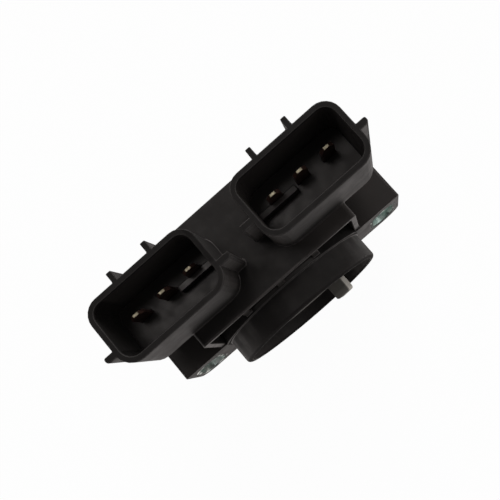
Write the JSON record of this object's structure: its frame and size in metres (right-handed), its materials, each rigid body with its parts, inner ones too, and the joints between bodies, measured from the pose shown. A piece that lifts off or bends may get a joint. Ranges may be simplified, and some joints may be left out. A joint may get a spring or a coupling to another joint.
{
  "type": "throttle position sensor",
  "caption": "Throttle position sensor with a moulded housing, twin plug sockets, slotted mounting ears and a spring-returned rotor with a drive tab.",
  "frame": {"origin": "on the rotor's axis, in the plane of the mounting face", "axes": "+X along the row of sockets, +Y from the mounting face to the back cover, +Z out of the sockets; the rotor turns about Y"},
  "size_m": [0.0488, 0.0234, 0.047],
  "materials": {
    "black_plastic": "satin moulded",
    "cover_plastic": "satin moulded",
    "seal_rubber": "soft",
    "bushing_steel": "plated",
    "plain_steel": "bright",
    "terminal_brass": "tarnished",
    "bush_bronze": "sintered",
    "wiper_metal": "spring metal",
    "rotor_plastic": "filled moulding",
    "carrier_plastic": "moulded",
    "board_ceramic": "fired",
    "track_carbon": "printed",
    "track_metal": "printed"
  },
  "bodies": {
    "sensor_body": {"housing": "black_plastic", "back_cover": "cover_plastic", "cover_seal": "seal_rubber", "left_slot_bushing": "bushing_steel", "right_slot_bushing": "bushing_steel", "left_outer_terminal": "terminal_brass", "left_middle_terminal": "terminal_brass", "left_inner_terminal": "terminal_brass", "right_inner_terminal": "terminal_brass", "right_middle_terminal": "terminal_brass", "right_outer_terminal": "terminal_brass", "shaft_bush": "bush_bronze", "shaft_seal": "seal_rubber", "seal_washer": "plain_steel", "return_spring": "plain_steel", "resistor_board": "board_ceramic", "resistor_tracks": "track_carbon", "conductor_tracks": "track_metal"},
    "rotor_assembly": {"rotor": "rotor_plastic", "wiper_carrier": "carrier_plastic", "carrier_clip": "plain_steel", "position_wiper": "wiper_metal", "switch_wiper": "wiper_metal"}
  },
  "joints": [
    {"name": "rotor_turn", "type": "hinge", "parent": "sensor_body", "child": "rotor_assembly", "pos_m": [0, 0, 0], "axis": [0, -1, 0], "range_deg": [0, 100], "stiffness_Nm_per_rad": 0.012, "springref_deg": -34.38, "deforming": ["return_spring"]}
  ]
}
